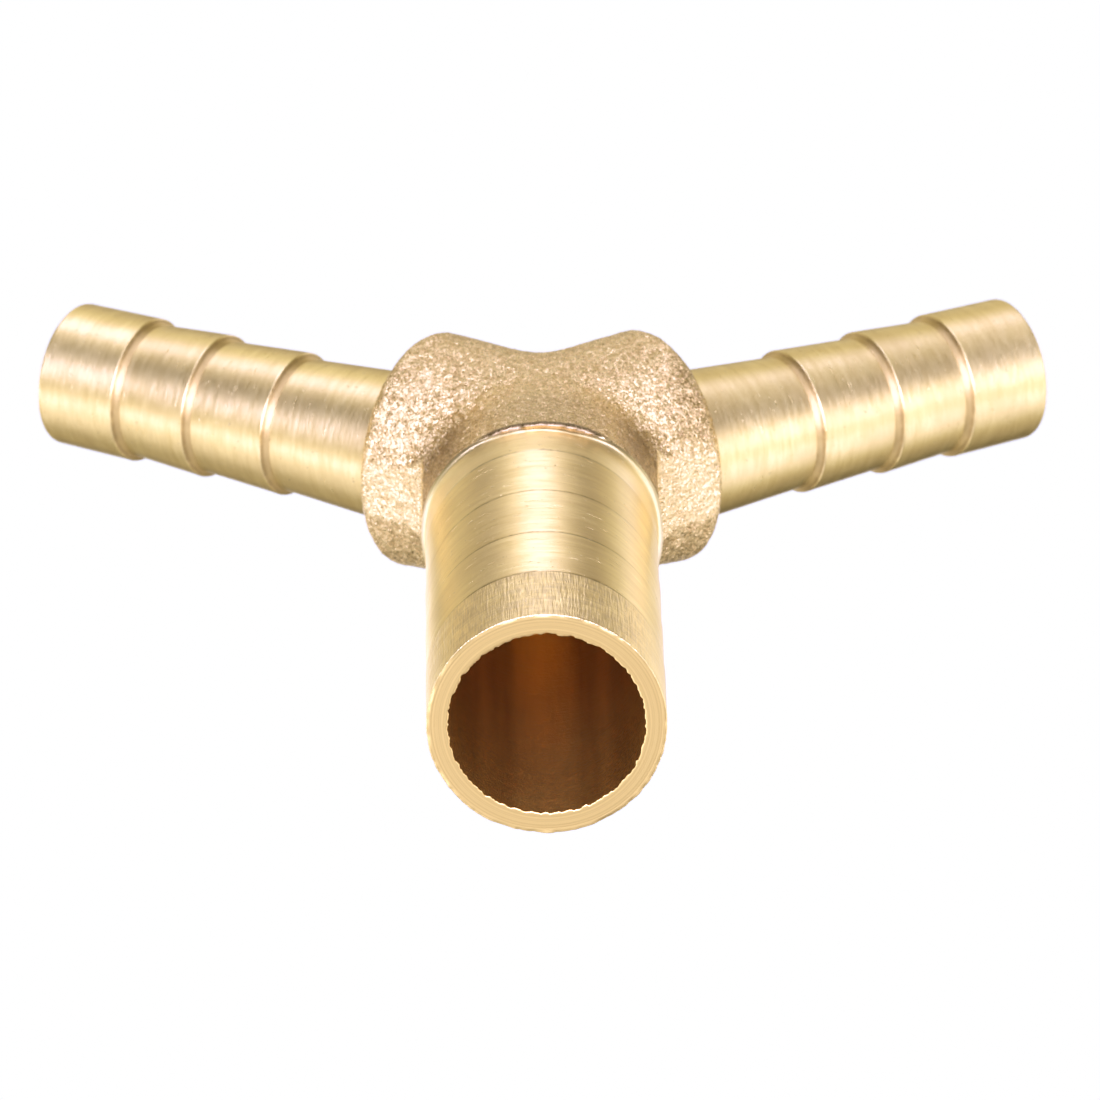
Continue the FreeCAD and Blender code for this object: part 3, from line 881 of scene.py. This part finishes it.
def add_camera():
    right, down, forward = view_axes(*map(math.radians,
                                          (CAMERA_BEARING, CAMERA_PITCH, CAMERA_ROLL)))
    to_right, to_down, ahead = CROSSING_SEEN
    eye = -(to_right * right + to_down * down + ahead * forward) * MM
    rotation = np.stack([right, -down, -forward], 1)
    lens = bpy.data.cameras.new("view")
    camera = bpy.data.objects.new("view", lens)
    scene.collection.objects.link(camera)
    camera.matrix_world = Matrix([*([*row, place] for row, place in zip(rotation, eye)),
                                  [0, 0, 0, 1]])
    lens.sensor_width = 36.0
    lens.sensor_fit = "HORIZONTAL"
    lens.lens = 319.264364
    lens.clip_start, lens.clip_end = 0.01, 10
    focus = bpy.data.objects.new("focus", None)
    scene.collection.objects.link(focus)
    focus.location = (0, -0.019, 0.003)
    lens.dof.use_dof = True
    lens.dof.focus_object = focus
    lens.dof.aperture_fstop = 150
    scene.camera = camera


# Blue response: strong yellows bleach a little near the top of the range. Input, output
BLUE_CURVE = ((0, 0), (0.15, 0.142), (0.30, 0.30), (0.42, 0.435), (0.50, 0.545), (0.60, 0.70),
              (0.70, 0.83), (0.85, 0.945), (1, 1))


def set_view_response():
    view = scene.view_settings
    view.view_transform = "Standard"
    view.look = "None"
    view.exposure = 0
    view.gamma = 1
    view.use_curve_mapping = True
    points = view.curve_mapping.curves[2].points
    while len(points) < len(BLUE_CURVE):
        points.new(0.5, 0.5)
    for point, place in zip(points, BLUE_CURVE):
        point.location = place
    view.curve_mapping.update()


# ---------------------------------------------------------------- surroundings
LOBE_SHARPNESS = 22.0
# Soft lights of the studio: bearing from +Y towards +X and elevation in degrees, strength
LOBES = (
    (158.8, 83.4, 1.689), (-63.7, 78.5, 0.431), (-148.7, 72.4, 0.07), (-11.2, 70.1, 2.847),
    (41.3, 64.2, 0.109), (178.8, 62.5, 2.3), (93.8, 59.3, 0.115), (61.4, 52.5, 0.118),
    (-3.6, 41.3, 0.95), (-173.5, 37.3, 3.35), (-153.5, 30, 2.15), (174.1, 25.7, 4.7),
    (-165.9, 19.1, 2.75), (-113.3, 16.7, 0.142), (161.7, 15.1, 1.78), (-60.8, 14.3, 0.699),
    (76.7, 13.5, 0.563), (-8.3, 11.9, 0.794), (129.2, 11.1, 0.396), (44.2, 9.6, 1.181),
    (-178.3, 8.8, 1.204), (-40.7, 8, 0.59), (96.8, 7.3, 1.168), (116.8, 1.1, 0.759),
    (31.8, -0.4, 0.887), (-53.1, -1.9, 0.058), (-85.6, -5.7, 0.633), (104.4, -8.8, 0.357),
    (-118.1, -9.6, 0.343), (-65.5, -11.9, 0.577), (-150.5, -13.5, 1.068), (-98, -15.9, 1.103),
    (92, -19.1, 0.67), (144.5, -21.5, 1.707), (-77.9, -22.3, 0.735), (-162.9, -24, 0.594),
    (-57.9, -29.1, 0.71), (79.6, -30, 1.288), (-142.9, -30.9, 0.842), (-37.8, -36.4, 0.654),
    (99.7, -37.3, 0.246), (-122.8, -38.3, 0.098), (67.2, -42.3, 0.565), (-155.3, -43.4, 0.096),
    (119.7, -45.5, 0.387), (-102.7, -46.6, 0.198), (-135.2, -52.5, 0.988), (139.8, -55.1, 0.034),
    (-115.1, -64.2, 0.05), (-147.6, -75.2, 0.729), (-10.1, -78.5, 0.406), (127.4, -83.4, 0.37),
)
# Tint of the light from dim to bright: a quarter of its strength, colour
LIGHT_TINTS = ((0.0, (1.14, 1.0, 0.78)), (0.11, (1.12, 1.0, 0.80)), (0.24, (1.02, 1.0, 0.90)),
               (0.34, (1.0, 1.0, 1.12)), (0.56, (1.0, 1.02, 1.75)))


def build_world():
    """Soft lobes of light for reflections, plain white to the camera."""
    world = bpy.data.worlds.new("studio")
    scene.world = world
    world.use_nodes = True
    g = Graph(world.node_tree)
    output = g.node("ShaderNodeOutputWorld")
    direction = g.wire("ShaderNodeTexCoord", output="Generated")
    total = None
    for bearing, elevation, strength in LOBES:
        a, e = math.radians(bearing), math.radians(elevation)
        centre = (math.sin(a) * math.cos(e), math.cos(a) * math.cos(e), math.sin(e))
        cosine = g.wire("ShaderNodeVectorMath", {0: direction, 1: centre}, "Value",
                        operation="DOT_PRODUCT")
        power = g.math("MULTIPLY_ADD", cosine, LOBE_SHARPNESS, -LOBE_SHARPNESS)
        lobe = g.math("EXPONENT", power) * strength
        total = lobe if total is None else total + lobe
    total = g.math("POWER", total + 0.02, 1.06)
    # pale ground below the horizon, in front of the object and behind it
    split = g.node("ShaderNodeSeparateXYZ", {0: direction})
    y, z = Wire(g, split.outputs[1]), Wire(g, split.outputs[2])
    front = g.remap(z, span=(-0.05, -0.35)) * g.remap(y, span=(0.1, -0.4))
    behind = g.remap(z, span=(-0.20, -0.34)) * g.remap(y, span=(0.70, 0.86))
    total = total * g.math("MULTIPLY_ADD", front, 0.32, 1.0)
    total = g.math("MULTIPLY_ADD", behind, 1.15, total)
    pale = g.math("MAXIMUM", front, behind)
    tint = g.mix(pale * 0.8, g.ramp(total * 0.25, LIGHT_TINTS), (1.0, 1.0, 1.30))
    light = g.wire("ShaderNodeBackground", {"Color": tint, "Strength": total})
    white = g.wire("ShaderNodeBackground", {"Color": (1, 1, 1), "Strength": 1.0})
    to_camera = g.wire("ShaderNodeLightPath", output="Is Camera Ray")
    g.feed(output.inputs[0], g.wire("ShaderNodeMixShader", {0: to_camera, 1: light, 2: white}))


def build_floor():
    """A white floor seen only by the camera, and only from above."""
    bpy.ops.mesh.primitive_plane_add(size=3.0, location=(0, 0, -0.0058))
    floor = bpy.context.object
    floor.name = "floor"
    material = bpy.data.materials.new("pale_floor")
    material.use_nodes = True
    g = Graph(material.node_tree)
    output = g.node("ShaderNodeOutputMaterial")
    glow = g.wire("ShaderNodeEmission", {"Color": (1, 1, 1), "Strength": 1.0})
    clear = g.wire("ShaderNodeBsdfTransparent")
    underside = g.wire("ShaderNodeNewGeometry", output="Backfacing")
    g.feed(output.inputs[0], g.wire("ShaderNodeMixShader", {0: underside, 1: glow, 2: clear}))
    floor.data.materials.append(material)
    floor.visible_glossy = False
    floor.visible_diffuse = False
    floor.visible_shadow = False


add_camera()
set_view_response()
build_world()
build_floor()

scene.cycles.max_bounces = 8
scene.cycles.glossy_bounces = 6
scene.cycles.caustics_reflective = True
scene.cycles.sample_clamp_indirect = 8
